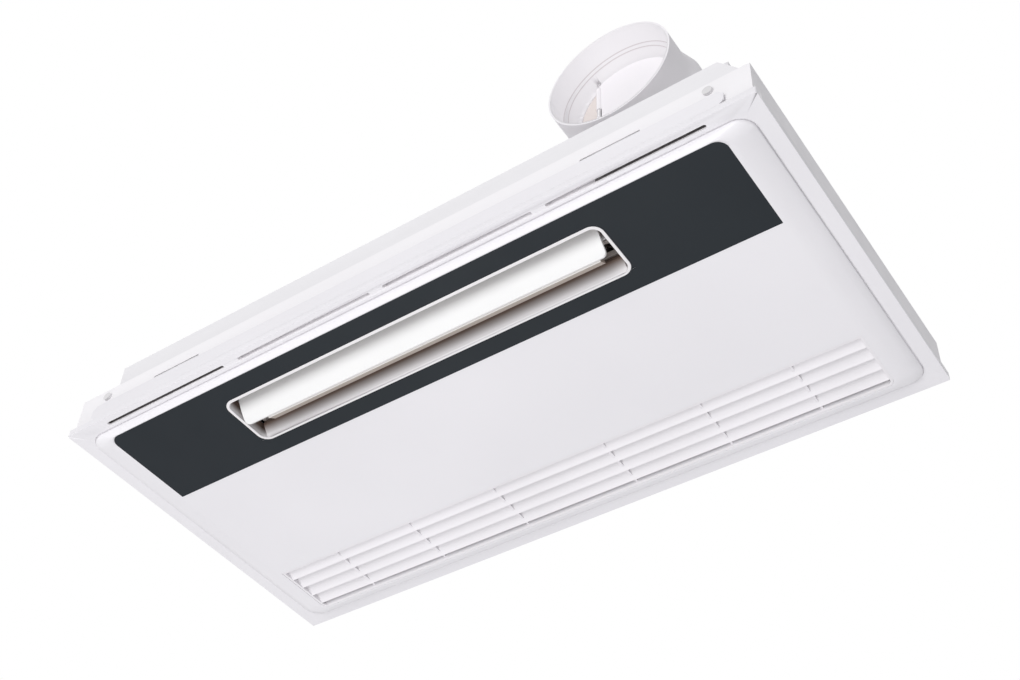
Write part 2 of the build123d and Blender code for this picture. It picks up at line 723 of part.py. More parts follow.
# Duct adapter: a straight spigot that flares to its plate on the housing's front wall
plate_front = box_front - spigot_plate_wall
flare_start = spigot_rim_y + spigot_socket
flare_end = flare_start + spigot_flare_length
flare_radius = spigot_radius + spigot_flare
step_y = spigot_rim_y + spigot_straight
flap_y = spigot_rim_y + flap_depth
seat_y = flap_y + flap_wall + seat_gap
pin_half = sqrt((spigot_bore + spigot_wall) ** 2 - flap_chord ** 2)
with BuildPart() as duct_adapter:
    with BuildSketch(Plane((spigot_x, 0, spigot_z), x_dir=(1, 0, 0), z_dir=(0, 0, 1))):
        with BuildLine():
            Polyline((spigot_bore, plate_front), (spigot_bore, plate_front - shell_wall),
                     (flare_radius - spigot_wall, plate_front - shell_wall),
                     (flare_radius - spigot_wall, flare_end), (spigot_bore, seat_y + spigot_wall),
                     (spigot_bore - flap_seat_width, seat_y + spigot_wall),
                     (spigot_bore - flap_seat_width, seat_y), (spigot_bore, seat_y), (spigot_bore, step_y),
                     (spigot_radius - spigot_wall, step_y), (spigot_radius - spigot_wall, spigot_rim_y),
                     (spigot_radius, spigot_rim_y), (spigot_radius, flare_start))
            Polyline((spigot_radius, flare_start), (flare_radius, flare_end), (flare_radius, plate_front),
                     (spigot_bore, plate_front))
        make_face()
    revolve(axis=Axis((spigot_x, 0, spigot_z), (0, 1, 0)))
    with BuildSketch(Plane((spigot_x, box_front, spigot_z), x_dir=(1, 0, 0), z_dir=(0, -1, 0))):
        Rectangle(spigot_plate, spigot_plate)
        Circle(spigot_bore, mode=Mode.SUBTRACT)
    extrude(amount=spigot_plate_wall)
    # holes for the ends of the flap's pin
    with BuildSketch(Plane((spigot_x - flap_chord, flap_y + flap_wall / 2, spigot_z))):
        Circle(flap_pin_radius + running_gap)
    extrude(amount=pin_half + seat_gap, both=True, mode=Mode.SUBTRACT)
duct_adapter.part.label = "duct_adapter"
export_step(duct_adapter.part, "parts/duct_adapter.step")

# Backdraft flap: a disc cut straight at its hinge, on an upright pin with a return spring
flap_pin_y = flap_y + flap_wall / 2
chord_half = sqrt((spigot_bore - flap_seat_width) ** 2 - (flap_chord + flap_knuckle_radius) ** 2) - seat_gap
with BuildPart() as backdraft_flap:
    with BuildSketch(Plane((spigot_x, flap_y, spigot_z), x_dir=(1, 0, 0), z_dir=(0, 1, 0))):
        Circle(flap_radius)
        with Locations((-flap_chord - flap_radius, 0)):
            Rectangle(2 * flap_radius, 2 * flap_radius, mode=Mode.SUBTRACT)
    extrude(amount=flap_wall)
    with BuildSketch(Plane((spigot_x - flap_chord, flap_pin_y, spigot_z - chord_half))):
        Circle(flap_knuckle_radius)
    extrude(amount=2 * chord_half)
    with BuildSketch(Plane((spigot_x - flap_chord, flap_pin_y, spigot_z - flap_radius))):
        Circle(flap_pin_radius + running_gap)
    extrude(amount=2 * flap_radius, mode=Mode.SUBTRACT)
    with BuildSketch(Plane((spigot_x - flap_chord, flap_pin_y, spigot_z - flap_spring_length / 2 - seat_gap))):
        Circle(flap_knuckle_radius + seat_gap)
    extrude(amount=flap_spring_length + 2 * seat_gap, mode=Mode.SUBTRACT)
backdraft_flap.part.label = "backdraft_flap"
export_step(backdraft_flap.part, "parts/backdraft_flap.step")

with BuildPart() as flap_pin:
    with BuildSketch(Plane((spigot_x - flap_chord, flap_pin_y, spigot_z - pin_half))):
        Circle(flap_pin_radius)
    extrude(amount=2 * pin_half)
flap_pin.part.label = "flap_pin"
export_step(flap_pin.part, "parts/flap_pin.step")

with BuildPart() as flap_spring:
    with BuildSketch(Plane((spigot_x - flap_chord, flap_pin_y, spigot_z - flap_spring_length / 2))):
        Circle(flap_knuckle_radius - seat_gap)
        Circle(flap_pin_radius + running_gap, mode=Mode.SUBTRACT)
    extrude(amount=flap_spring_length)
flap_spring.part.label = "flap_spring"
export_step(flap_spring.part, "parts/flap_spring.step")

# Room-air blower: the passage wraps the top of the rotor and turns down to the outlet
rotor_axis = (rotor_y, rotor_z)
passage_near = outlet_open_near
throat_z = rotor_z - rotor_radius - casing_gap + casing_wall
rise_z = tray_height - 2 * shell_wall - casing_wall


def rotor_point(angle, radius):
    """A point round the rotor's axis, in the plane across it."""
    return rotor_y + radius * cos(radians(angle)), rotor_z + radius * sin(radians(angle))


def passage_outline():
    """Cross-section of the air passage from the rotor to the outlet."""
    rim = rotor_radius + casing_gap
    tongue = rotor_point(casing_tongue_angle, rim)
    shoulder = rotor_point(casing_shoulder_angle, rotor_radius + casing_shoulder_gap)
    mouth = rotor_point(casing_mouth_angle, rim)
    crown = rotor_point(casing_crown_angle, rim + casing_gap)
    bend = Vector(passage_near + rotor_radius, rise_z - rotor_radius)
    bend_mid = bend + Vector(-rotor_radius, rotor_radius) / sqrt(2)
    with BuildSketch(mode=Mode.PRIVATE) as outline:
        with BuildLine():
            Line((duct_rear_y, floor_z), (passage_near, floor_z))
            Line((passage_near, floor_z), (passage_near, bend.Y))
            ThreePointArc((passage_near, bend.Y), bend_mid, (bend.X, rise_z))
            Line((bend.X, rise_z), shoulder)
            ThreePointArc(shoulder, crown, mouth)
            Line(mouth, tongue)
            Line(tongue, (duct_rear_y, throat_z))
            Line((duct_rear_y, throat_z), (duct_rear_y, floor_z))
        make_face()
    return outline.sketch


with BuildPart() as blower_casing:
    with BuildSketch(Plane.YZ):
        add(passage_outline())
        offset(amount=casing_wall, kind=Kind.INTERSECTION)
        add(passage_outline(), mode=Mode.SUBTRACT)
        # open on the intake side of the rotor, and below
        rim = rotor_radius + casing_gap
        Polygon(rotor_point(casing_mouth_angle, rim), rotor_point(casing_mouth_angle, 2 * rim),
                rotor_point(0, 3 * rim), rotor_point(casing_tongue_angle + casing_mouth_angle, 2 * rim),
                rotor_point(casing_tongue_angle, rim + 2 * casing_wall), rotor_point(casing_tongue_angle, rim),
                align=None, mode=Mode.SUBTRACT)
        with Locations(((passage_near + duct_rear_y) / 2, floor_z - casing_wall)):
            Rectangle(2 * (duct_rear_y - passage_near), 2 * casing_wall, mode=Mode.SUBTRACT)
        with Locations((passage_near - (casing_foot + casing_wall) / 2, floor_z + casing_wall / 2)):
            Rectangle(casing_foot + casing_wall, casing_wall)
        with Locations((duct_rear_y + (casing_foot + casing_wall) / 2, floor_z + casing_wall / 2)):
            Rectangle(casing_foot + casing_wall, casing_wall)
    extrude(amount=casing_half, both=True)
    # end walls
    with BuildSketch(Plane.YZ.offset(-casing_half - casing_end_wall), Plane.YZ.offset(casing_half)):
        add(passage_outline())
        offset(amount=casing_wall, kind=Kind.INTERSECTION)
        with Locations(rotor_axis):
            Circle(rotor_radius + casing_gap)
        with Locations(((passage_near + duct_rear_y) / 2, floor_z - casing_wall)):
            Rectangle(2 * (duct_rear_y - passage_near), 2 * casing_wall, mode=Mode.SUBTRACT)
    extrude(amount=casing_end_wall)
    with BuildSketch(Plane.YZ.offset(-casing_half - casing_end_wall)):
        with Locations(rotor_axis):
            Circle(rotor_shaft_radius + casing_wall)
    extrude(amount=casing_end_wall, mode=Mode.SUBTRACT)
    with BuildSketch(Plane.YZ.offset(casing_half)):
        with Locations(rotor_axis):
            Circle(bearing_radius)
    extrude(amount=casing_end_wall, mode=Mode.SUBTRACT)
blower_casing.part.label = "blower_casing"
export_step(blower_casing.part, "parts/blower_casing.step")

with BuildPart() as rotor_bearing:
    with BuildSketch(Plane.YZ.offset(casing_half)):
        with Locations(rotor_axis):
            Circle(bearing_radius)
    extrude(amount=bearing_length)
    with BuildSketch(Plane.YZ.offset(casing_half + casing_end_wall)):
        with Locations(rotor_axis):
            Circle(bearing_radius + casing_wall)
    extrude(amount=casing_wall)
    with BuildSketch(Plane.YZ.offset(casing_half)):
        with Locations(rotor_axis):
            Circle(rotor_shaft_radius + running_gap)
    extrude(amount=bearing_length, mode=Mode.SUBTRACT)
rotor_bearing.part.label = "rotor_bearing"
export_step(rotor_bearing.part, "parts/rotor_bearing.step")


def leaning_blade(inner, outer, wall, lean):
    """Section of one fan blade from an inner to an outer radius, leaning forward at its tip."""
    lean = radians(lean)
    tip = Vector(outer * cos(lean), outer * sin(lean))
    root = Vector(inner, 0)
    across = (tip - root).normalized().rotate(Axis.Z, 90) * (wall / 2)
    with BuildSketch(mode=Mode.PRIVATE) as section:
        Polygon(root - across, tip - across, tip + across, root + across, align=None)
    return section.sketch


# Tangential rotor: forward-leaning blades between end discs, stiffened by rings
blade_inner = rotor_radius - rotor_blade_depth
half_rotor = rotor_length / 2
with BuildPart() as blower_rotor:
    with BuildSketch(Plane(origin=(-half_rotor, rotor_y, rotor_z), x_dir=(0, 1, 0), z_dir=(1, 0, 0))):
        with PolarLocations(0, rotor_blades):
            add(leaning_blade(blade_inner, rotor_radius - rotor_blade_wall / 2, rotor_blade_wall,
                              rotor_blade_lean))
    extrude(amount=rotor_length)
    with BuildSketch(Plane(origin=(-half_rotor, rotor_y, rotor_z), x_dir=(0, 1, 0), z_dir=(1, 0, 0)),
                     Plane(origin=(half_rotor - rotor_disc_wall, rotor_y, rotor_z), x_dir=(0, 1, 0),
                           z_dir=(1, 0, 0))):
        Circle(rotor_radius)
        Circle(rotor_shaft_radius, mode=Mode.SUBTRACT)
    extrude(amount=rotor_disc_wall)
    for ring in range(rotor_rings):
        ring_x = -half_rotor + rotor_length * (ring + 1) / (rotor_rings + 1)
        with BuildSketch(Plane(origin=(ring_x, rotor_y, rotor_z), x_dir=(0, 1, 0), z_dir=(1, 0, 0))):
            Circle(rotor_radius)
            Circle(blade_inner, mode=Mode.SUBTRACT)
        extrude(amount=rotor_disc_wall / 2, both=True)
blower_rotor.part.label = "blower_rotor"
export_step(blower_rotor.part, "parts/blower_rotor.step")

motor_face = casing_half + casing_end_wall + blower_bracket_wall
motor_bore_depth = blower_motor_length / 2
with BuildPart() as rotor_shaft:
    with BuildSketch(Plane.YZ.offset(-motor_face - motor_bore_depth + seat_gap)):
        with Locations(rotor_axis):
            Circle(rotor_shaft_radius)
    extrude(amount=motor_face + motor_bore_depth - seat_gap + casing_half + bearing_length)
rotor_shaft.part.label = "rotor_shaft"
export_step(rotor_shaft.part, "parts/rotor_shaft.step")

# Motor of the room-air blower, on a plate that stands on the base plate
with BuildPart() as motor_bracket:
    with BuildSketch(Plane.YZ.offset(-motor_face)):
        with Locations((rotor_y, floor_z + (rotor_z - floor_z + blower_motor_radius) / 2)):
            Rectangle(2 * blower_motor_radius, rotor_z - floor_z + blower_motor_radius)
        with Locations(rotor_axis):
            Circle(rotor_shaft_radius + casing_wall, mode=Mode.SUBTRACT)
    extrude(amount=blower_bracket_wall)
    with BuildSketch(Plane((-motor_face, rotor_y, floor_z))):
        with Locations((-blower_motor_length / 4, 0)):
            Rectangle(blower_motor_length / 2, 2 * blower_motor_radius)
    extrude(amount=blower_bracket_wall)
motor_bracket.part.label = "motor_bracket"
export_step(motor_bracket.part, "parts/motor_bracket.step")

with BuildPart() as rotor_motor:
    with BuildSketch(Plane.YZ.offset(-motor_face)):
        with Locations(rotor_axis):
            Circle(blower_motor_radius)
    extrude(amount=-blower_motor_length)
    chamfer(edges().filter_by(GeomType.CIRCLE).sort_by(Axis.X)[0], casing_wall)
    with BuildSketch(Plane.YZ.offset(-motor_face)):
        with Locations(rotor_axis):
            Circle(rotor_shaft_radius + running_gap)
    extrude(amount=-motor_bore_depth, mode=Mode.SUBTRACT)
rotor_motor.part.label = "rotor_motor"
export_step(rotor_motor.part, "parts/rotor_motor.step")

# Heater across the passage: a frame of rails, and fins on two element bars
heater_mid_y = (passage_near + duct_rear_y) / 2
heater_width = duct_rear_y - passage_near - 2 * seat_gap
with BuildPart() as heater_frame:
    with BuildSketch(Plane((0, heater_mid_y, heater_z))):
        Rectangle(2 * casing_half, heater_width)
        Rectangle(2 * (casing_half - heater_rail), heater_width - 2 * heater_rail, mode=Mode.SUBTRACT)
    extrude(amount=heater_height)
heater_frame.part.label = "heater_frame"
export_step(heater_frame.part, "parts/heater_frame.step")

fin_span = 2 * (casing_half - 2 * heater_rail)
with BuildPart() as heater_element:
    with BuildSketch(Plane((0, heater_mid_y, heater_z + seat_gap))):
        with GridLocations(fin_span / (heater_fins - 1), 0, heater_fins, 1):
            Rectangle(heater_fin_wall, heater_width - 2 * heater_rail - 2 * seat_gap)
    extrude(amount=heater_height - 2 * seat_gap)
    with BuildSketch(Plane((0, heater_mid_y, heater_z + heater_height / 3))):
        with GridLocations(0, heater_width / 3, 1, 2):
            Rectangle(2 * (casing_half - heater_rail), heater_bar_width)
    extrude(amount=heater_height / 3)
heater_element.part.label = "heater_element"
export_step(heater_element.part, "parts/heater_element.step")

# Exhaust blower: a scroll that opens into the duct through the front wall
wall_face = box_front + shell_wall
growth = scroll_step / scroll_turn
scroll_end = scroll_start + scroll_turn * scroll_turns


def scroll_point(angle):
    """A point on the scroll's inner wall, which moves out steadily with the angle."""
    radius = wheel_radius + scroll_gap + growth * (angle - scroll_start)
    return wheel_x + radius * cos(radians(angle)), wheel_y + radius * sin(radians(angle))


scroll_left = scroll_point(scroll_end)[0]
scroll_right = scroll_point(scroll_start)[0]


def scroll_outline():
    """Cross-section of the scroll's passage, from its tongue round to the straight outlet."""
    with BuildSketch(mode=Mode.PRIVATE) as outline:
        with BuildLine():
            for turn in range(scroll_turns):
                start = scroll_start + scroll_turn * turn
                ThreePointArc(scroll_point(start), scroll_point(start + scroll_turn / 2),
                              scroll_point(start + scroll_turn))
            Polyline(scroll_point(scroll_end), (scroll_left, wall_face), (scroll_right, wall_face),
                     scroll_point(scroll_start))
        make_face()
    return outline.sketch


with BuildPart() as exhaust_scroll:
    with BuildSketch(Plane.XY.offset(scroll_z)):
        add(scroll_outline())
        offset(amount=scroll_wall, kind=Kind.INTERSECTION)
        with Locations((wheel_x, wall_face - scroll_wall)):
            Rectangle(4 * wheel_radius, 2 * scroll_wall, mode=Mode.SUBTRACT)
    extrude(amount=scroll_height)
    with BuildSketch(Plane.XY.offset(scroll_z + scroll_wall)):
        add(scroll_outline())
    extrude(amount=scroll_height - 2 * scroll_wall, mode=Mode.SUBTRACT)
    # inlet below, shaft hole above
    with BuildSketch(Plane.XY.offset(scroll_z)):
        with Locations((wheel_x, wheel_y)):
            Circle(scroll_inlet + scroll_wall)
    extrude(amount=scroll_wall, mode=Mode.SUBTRACT)
    with BuildSketch(Plane.XY.offset(scroll_z + scroll_height)):
        with Locations((wheel_x, wheel_y)):
            Circle(wheel_shaft_radius + scroll_wall)
    extrude(amount=-scroll_wall, mode=Mode.SUBTRACT)
    # flange on the front wall
    with BuildSketch(Plane(((scroll_left + scroll_right) / 2, wall_face, scroll_z + scroll_height / 2), x_dir=(1, 0, 0),
                           z_dir=(0, 1, 0))):
        Rectangle(scroll_flange, scroll_height + 4 * scroll_wall)
        Rectangle(scroll_right - scroll_left, scroll_height, mode=Mode.SUBTRACT)
    extrude(amount=scroll_wall)
exhaust_scroll.part.label = "exhaust_scroll"
export_step(exhaust_scroll.part, "parts/exhaust_scroll.step")

# Inlet ring: a flange under the scroll and a collar up into the wheel's mouth
ring_wall = scroll_wall - slip_gap - seat_gap
with BuildPart() as scroll_inlet_ring:
    with BuildSketch(Plane((wheel_x, wheel_y, scroll_z - scroll_wall))):
        Circle(scroll_inlet + 5 * scroll_wall)
        Circle(scroll_inlet, mode=Mode.SUBTRACT)
    extrude(amount=scroll_wall)
    with BuildSketch(Plane((wheel_x, wheel_y, scroll_z - scroll_wall))):
        Circle(scroll_inlet + ring_wall)
        Circle(scroll_inlet, mode=Mode.SUBTRACT)
    extrude(amount=3 * scroll_wall)
scroll_inlet_ring.part.label = "scroll_inlet_ring"
export_step(scroll_inlet_ring.part, "parts/scroll_inlet_ring.step")

# Exhaust wheel: blades between a back disc with a hub and a mouth ring
wheel_z = scroll_z + 3 * scroll_wall
wheel_top = wheel_z + wheel_height
with BuildPart() as exhaust_wheel:
    with BuildSketch(Plane((wheel_x, wheel_y, wheel_z))):
        with PolarLocations(0, wheel_blades):
            add(leaning_blade(wheel_radius - wheel_blade_depth, wheel_radius - wheel_blade_wall / 2,
                             wheel_blade_wall, wheel_blade_lean))
    extrude(amount=wheel_height)
    with BuildSketch(Plane((wheel_x, wheel_y, wheel_z))):
        Circle(wheel_radius)
        Circle(wheel_radius - wheel_blade_depth, mode=Mode.SUBTRACT)
    extrude(amount=wheel_disc_wall)
    with BuildSketch(Plane((wheel_x, wheel_y, wheel_top - wheel_disc_wall))):
        Circle(wheel_radius)
    extrude(amount=wheel_disc_wall)
    with BuildSketch(Plane((wheel_x, wheel_y, wheel_top - wheel_height / 2))):
        Circle(3 * wheel_shaft_radius)
    extrude(amount=wheel_height / 2)
    with BuildSketch(Plane((wheel_x, wheel_y, wheel_z))):
        Circle(wheel_shaft_radius)
    extrude(amount=wheel_height, mode=Mode.SUBTRACT)
exhaust_wheel.part.label = "exhaust_wheel"
export_step(exhaust_wheel.part, "parts/exhaust_wheel.step")

motor_seat_z = scroll_z + scroll_height
exhaust_bore_depth = exhaust_motor_height / 2
with BuildPart() as exhaust_shaft:
    with BuildSketch(Plane((wheel_x, wheel_y, wheel_top - wheel_height / 2))):
        Circle(wheel_shaft_radius)
    extrude(amount=motor_seat_z + exhaust_bore_depth - seat_gap - wheel_top + wheel_height / 2)
exhaust_shaft.part.label = "exhaust_shaft"
export_step(exhaust_shaft.part, "parts/exhaust_shaft.step")

with BuildPart() as exhaust_motor:
    with BuildSketch(Plane((wheel_x, wheel_y, motor_seat_z))):
        Circle(exhaust_motor_radius)
    extrude(amount=exhaust_motor_height)
    chamfer(edges().filter_by(GeomType.CIRCLE).sort_by(Axis.Z)[-1], scroll_wall)
    with BuildSketch(Plane((wheel_x, wheel_y, motor_seat_z))):
        Circle(wheel_shaft_radius + running_gap)
    extrude(amount=exhaust_bore_depth, mode=Mode.SUBTRACT)
exhaust_motor.part.label = "exhaust_motor"
export_step(exhaust_motor.part, "parts/exhaust_motor.step")

# Control box on the base plate, with its board and terminals
with BuildPart() as control_box:
    with BuildSketch(Plane((control_x, control_y, floor_z))):
        Rectangle(control_length, control_width)
    extrude(amount=control_height)
    with BuildSketch(Plane((control_x, control_y, floor_z + control_wall))):
        Rectangle(control_length - 2 * control_wall, control_width - 2 * control_wall)
    extrude(amount=control_height, mode=Mode.SUBTRACT)
    with BuildSketch(Plane((control_x, control_y, floor_z))):
        with GridLocations(control_length - 8 * control_wall, control_width - 8 * control_wall, 2, 2):
            Rectangle(4 * control_wall, 4 * control_wall)
    extrude(amount=3 * control_wall)
control_box.part.label = "control_box"
export_step(control_box.part, "parts/control_box.step")

with BuildPart() as control_board:
    with BuildSketch(Plane((control_x, control_y, floor_z + 3 * control_wall))):
        Rectangle(control_length - 2 * control_wall - 2 * seat_gap, control_width - 2 * control_wall - 2 * seat_gap)
    extrude(amount=board_wall)
    with BuildSketch(Plane((control_x, control_y, floor_z + 3 * control_wall + board_wall))):
        with Locations((-control_length / 4, 0)):
            Rectangle(control_length / 4, control_width / 2)
        with Locations((control_length / 6, control_width / 6)):
            Circle(control_width / 8)
    extrude(amount=control_height / 3)
control_board.part.label = "control_board"
export_step(control_board.part, "parts/control_board.step")

terminal_y = control_y + control_width / 2 + terminal_width
with BuildPart() as terminal_block:
    with BuildSketch(Plane((control_x, terminal_y, floor_z))):
        Rectangle(terminal_length, terminal_width)
    extrude(amount=terminal_height)
    with BuildSketch(Plane((control_x, terminal_y, floor_z + terminal_height))):
        with GridLocations(terminal_length / 5, terminal_width / 2, 4, 2):
            Rectangle(terminal_width / 4, terminal_width / 4)
    extrude(amount=-terminal_height / 3, mode=Mode.SUBTRACT)
terminal_block.part.label = "terminal_block"
export_step(terminal_block.part, "parts/terminal_block.step")

# Cable gland through the housing's end wall, with its nut inside
outer_face = Plane((tray_left, control_y, gland_z), x_dir=(0, 1, 0), z_dir=(-1, 0, 0))
inner_face = Plane((tray_left + shell_wall, control_y, gland_z), x_dir=(0, -1, 0), z_dir=(1, 0, 0))
with BuildPart() as cable_gland:
    with BuildSketch(outer_face):
        RegularPolygon(gland_radius, 6)
    extrude(amount=gland_reach / 3)
    with BuildSketch(outer_face):
        Circle(gland_thread)
    extrude(amount=gland_reach)
    chamfer(edges().filter_by(GeomType.CIRCLE).sort_by(Axis.X)[0], shell_wall)
    with BuildSketch(outer_face):
        Circle(gland_thread)
    extrude(amount=-3 * shell_wall - gland_reach / 4)
    with BuildSketch(outer_face):
        Circle(gland_bore)
    extrude(amount=gland_reach, both=True, mode=Mode.SUBTRACT)
cable_gland.part.label = "cable_gland"
export_step(cable_gland.part, "parts/cable_gland.step")

with BuildPart() as gland_nut:
    with BuildSketch(inner_face):
        RegularPolygon(gland_radius, 6)
        Circle(gland_thread + running_gap, mode=Mode.SUBTRACT)
    extrude(amount=gland_reach / 4)
gland_nut.part.label = "gland_nut"
export_step(gland_nut.part, "parts/gland_nut.step")

with BuildPart() as receiver_board:
    with BuildSketch(Plane((receiver_x, outlet_y, cavity_z))):
        Rectangle(receiver_length, receiver_width)
    extrude(amount=board_wall)
receiver_board.part.label = "receiver_board"
export_step(receiver_board.part, "parts/receiver_board.step")
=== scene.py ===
import bpy
import bmesh
from math import radians, pi, cos, sin
from mathutils import Vector, Matrix


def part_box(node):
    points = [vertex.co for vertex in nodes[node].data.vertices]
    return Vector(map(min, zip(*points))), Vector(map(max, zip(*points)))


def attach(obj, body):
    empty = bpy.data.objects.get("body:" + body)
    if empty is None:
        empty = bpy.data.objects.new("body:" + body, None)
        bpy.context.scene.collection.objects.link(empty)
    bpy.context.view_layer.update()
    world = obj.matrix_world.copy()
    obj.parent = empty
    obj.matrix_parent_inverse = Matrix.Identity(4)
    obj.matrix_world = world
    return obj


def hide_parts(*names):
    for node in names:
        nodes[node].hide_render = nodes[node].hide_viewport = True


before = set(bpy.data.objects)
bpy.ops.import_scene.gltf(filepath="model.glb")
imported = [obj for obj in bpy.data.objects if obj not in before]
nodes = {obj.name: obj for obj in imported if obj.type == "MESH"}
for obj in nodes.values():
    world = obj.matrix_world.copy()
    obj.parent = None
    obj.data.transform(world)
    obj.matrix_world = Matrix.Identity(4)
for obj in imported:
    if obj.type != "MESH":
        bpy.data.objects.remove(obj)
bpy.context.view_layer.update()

# Places on the part that the painted shade and light in the finishes follow, in metres. A pair is a middle and a
# reach to each side.
# The slits: painted light on their shaded walls over the frame's lip, and painted shade where they open on the
# dark inside
slit_line = (-0.1437, 0.0016)
slit_rise = (-0.0028, 0.0030)
slit_shade_rise = (-0.0018, 0.0026)
slit_shade_runs = ((-0.2020, 0.0605), (0.2210, 0.0415))
# The spigot: its axis, bore and the two lines of painted shadow at its inner step
spigot_axis = (0.1874, 0.118)
spigot_inside = 0.0488
step_shadow_lines = ((-0.1201, 0.0005), (-0.1186, 0.0005))
# The outlet's pocket: the heights between which its painted shade grows
pocket_from, pocket_to = -0.0105, -0.0045
# The louver: its tilt and the band behind its bowed face where painted shade starts
louver_tilt = radians(55)
blade_front, blade_back = -0.0877, -0.0863

# How a moulded piece is smoothed
merge_gap = 0.00001
flat_angle = radians(0.5)
crease_angle = radians(32)
bevel_angle = radians(40)
head_crease = radians(40)

# Where a noise's factor starts and stops changing a finish
ramp_start, ramp_end = 0.3, 0.7


# Finishes

def new_finish(name):
    """A new material with its tree, its shader and Object coordinates."""
    finish = bpy.data.materials.new(name)
    finish.use_nodes = True
    tree = finish.node_tree
    shader = tree.nodes["Principled BSDF"]
    where = tree.nodes.new("ShaderNodeTexCoord")
    return finish, tree, shader, where.outputs["Object"]


def noise(tree, where, scale, detail=3.0, roughness=0.5, stretch=(1, 1, 1)):
    """Noise over the piece, its grain drawn out by a stretch along each axis."""
    mapping = tree.nodes.new("ShaderNodeMapping")
    mapping.inputs["Scale"].default_value = stretch
    tree.links.new(where, mapping.inputs["Vector"])
    texture = tree.nodes.new("ShaderNodeTexNoise")
    texture.inputs["Scale"].default_value = scale
    texture.inputs["Detail"].default_value = detail
    texture.inputs["Roughness"].default_value = roughness
    tree.links.new(mapping.outputs["Vector"], texture.inputs["Vector"])
    return texture.outputs["Fac"]


def ramp(tree, factor, low, high):
    """Colours between two stops of a factor."""
    stops = tree.nodes.new("ShaderNodeValToRGB")
    first, last = stops.color_ramp.elements
    first.position, first.color = ramp_start, (*low, 1)
    last.position, last.color = ramp_end, (*high, 1)
    tree.links.new(factor, stops.inputs["Fac"])
    return stops.outputs["Color"]


def toned(tree, shader, factor, shade, colour):
    """A base colour that drifts between two tones of a factor."""
    tree.links.new(ramp(tree, factor, shade, colour), shader.inputs["Base Color"])


def sheen(tree, shader, factor, low, high):
    """A roughness that drifts between two values of a factor."""
    tree.links.new(ramp(tree, factor, (low,) * 3, (high,) * 3), shader.inputs["Roughness"])


def bump(tree, shader, height, strength, distance):
    """Fine relief on the surface."""
    relief = tree.nodes.new("ShaderNodeBump")
    relief.inputs["Strength"].default_value = strength
    relief.inputs["Distance"].default_value = distance
    tree.links.new(height, relief.inputs["Height"])
    tree.links.new(relief.outputs["Normal"], shader.inputs["Normal"])


def sums(tree, operation, *values):
    """One Math node on sockets or numbers."""
    node = tree.nodes.new("ShaderNodeMath")
    node.operation = operation
    for slot, value in enumerate(values):
        if isinstance(value, (int, float)):
            node.inputs[slot].default_value = value
        else:
            tree.links.new(value, node.inputs[slot])
    return node.outputs[0]


def within(tree, value, span):
    """One where a value lies within a middle's reach, and zero elsewhere."""
    return sums(tree, "COMPARE", value, *span)


def opened(finish):
    """A finish's tree and shader, and the three coordinates of a point on the piece."""
    tree = finish.node_tree
    where = tree.nodes.new("ShaderNodeTexCoord")
    split = tree.nodes.new("ShaderNodeSeparateXYZ")
    tree.links.new(where.outputs["Object"], split.inputs[0])
    return tree, tree.nodes["Principled BSDF"], *split.outputs


def climb(tree, value, start, end):
    """A factor that rises from zero to one between two values."""
    span = tree.nodes.new("ShaderNodeMapRange")
    span.inputs["From Min"].default_value = start
    span.inputs["From Max"].default_value = end
    tree.links.new(value, span.inputs["Value"])
    return span.outputs["Result"]


def tinted(tree, shader, amount, tint):
    """Lay a tint over a shader's colour where the amount is high."""
    held = shader.inputs["Base Color"].links[0].from_socket
    blend = tree.nodes.new("ShaderNodeMix")
    blend.data_type = "RGBA"
    tree.links.new(amount, blend.inputs["Factor"])
    tree.links.new(held, blend.inputs["A"])
    blend.inputs["B"].default_value = (*tint, 1)
    tree.links.new(blend.outputs["Result"], shader.inputs["Base Color"])


def moulded_plastic(name, colour, shade, roughness, grain=900.0, gloss=0.45):
    """Moulded plastic: a slow drift of tone, a fine spark-eroded grain and an uneven sheen."""
    finish, tree, shader, where = new_finish(name)
    toned(tree, shader, noise(tree, where, 6.0, 2.0), shade, colour)
    sheen(tree, shader, noise(tree, where, 40.0, 4.0), roughness - 0.05, roughness + 0.06)
    shader.inputs["Specular IOR Level"].default_value = gloss
    bump(tree, shader, noise(tree, where, grain, 2.0), 0.12, 0.00015)
    return finish


def coated_sheet(name, colour, shade, roughness, metallic=0.0):
    """Painted or galvanised sheet: faint rolling streaks and a slightly pebbled coat."""
    finish, tree, shader, where = new_finish(name)
    toned(tree, shader, noise(tree, where, 14.0, 5.0, 0.6, stretch=(0.25, 2.0, 2.0)), shade, colour)
    sheen(tree, shader, noise(tree, where, 60.0, 4.0), roughness - 0.06, roughness + 0.08)
    shader.inputs["Metallic"].default_value = metallic
    bump(tree, shader, noise(tree, where, 450.0, 3.0), 0.15, 0.0002)
    return finish


def drawn_steel(name, colour, shade, roughness):
    """Bright steel with fine lines along its length."""
    finish, tree, shader, where = new_finish(name)
    lines = noise(tree, where, 300.0, 4.0, 0.6, stretch=(0.05, 1.0, 1.0))
    toned(tree, shader, lines, shade, colour)
    sheen(tree, shader, lines, roughness, roughness + 0.15)
    shader.inputs["Metallic"].default_value = 1.0
    bump(tree, shader, lines, 0.1, 0.0001)
    return finish


def circuit_board(name):
    """Green lacquered board with paler tracks."""
    finish, tree, shader, where = new_finish(name)
    cells = tree.nodes.new("ShaderNodeTexVoronoi")
    cells.inputs["Scale"].default_value = 160.0
    tree.links.new(where, cells.inputs["Vector"])
    toned(tree, shader, cells.outputs["Distance"], (0.03, 0.16, 0.08), (0.08, 0.30, 0.15))
    shader.inputs["Roughness"].default_value = 0.35
    return finish


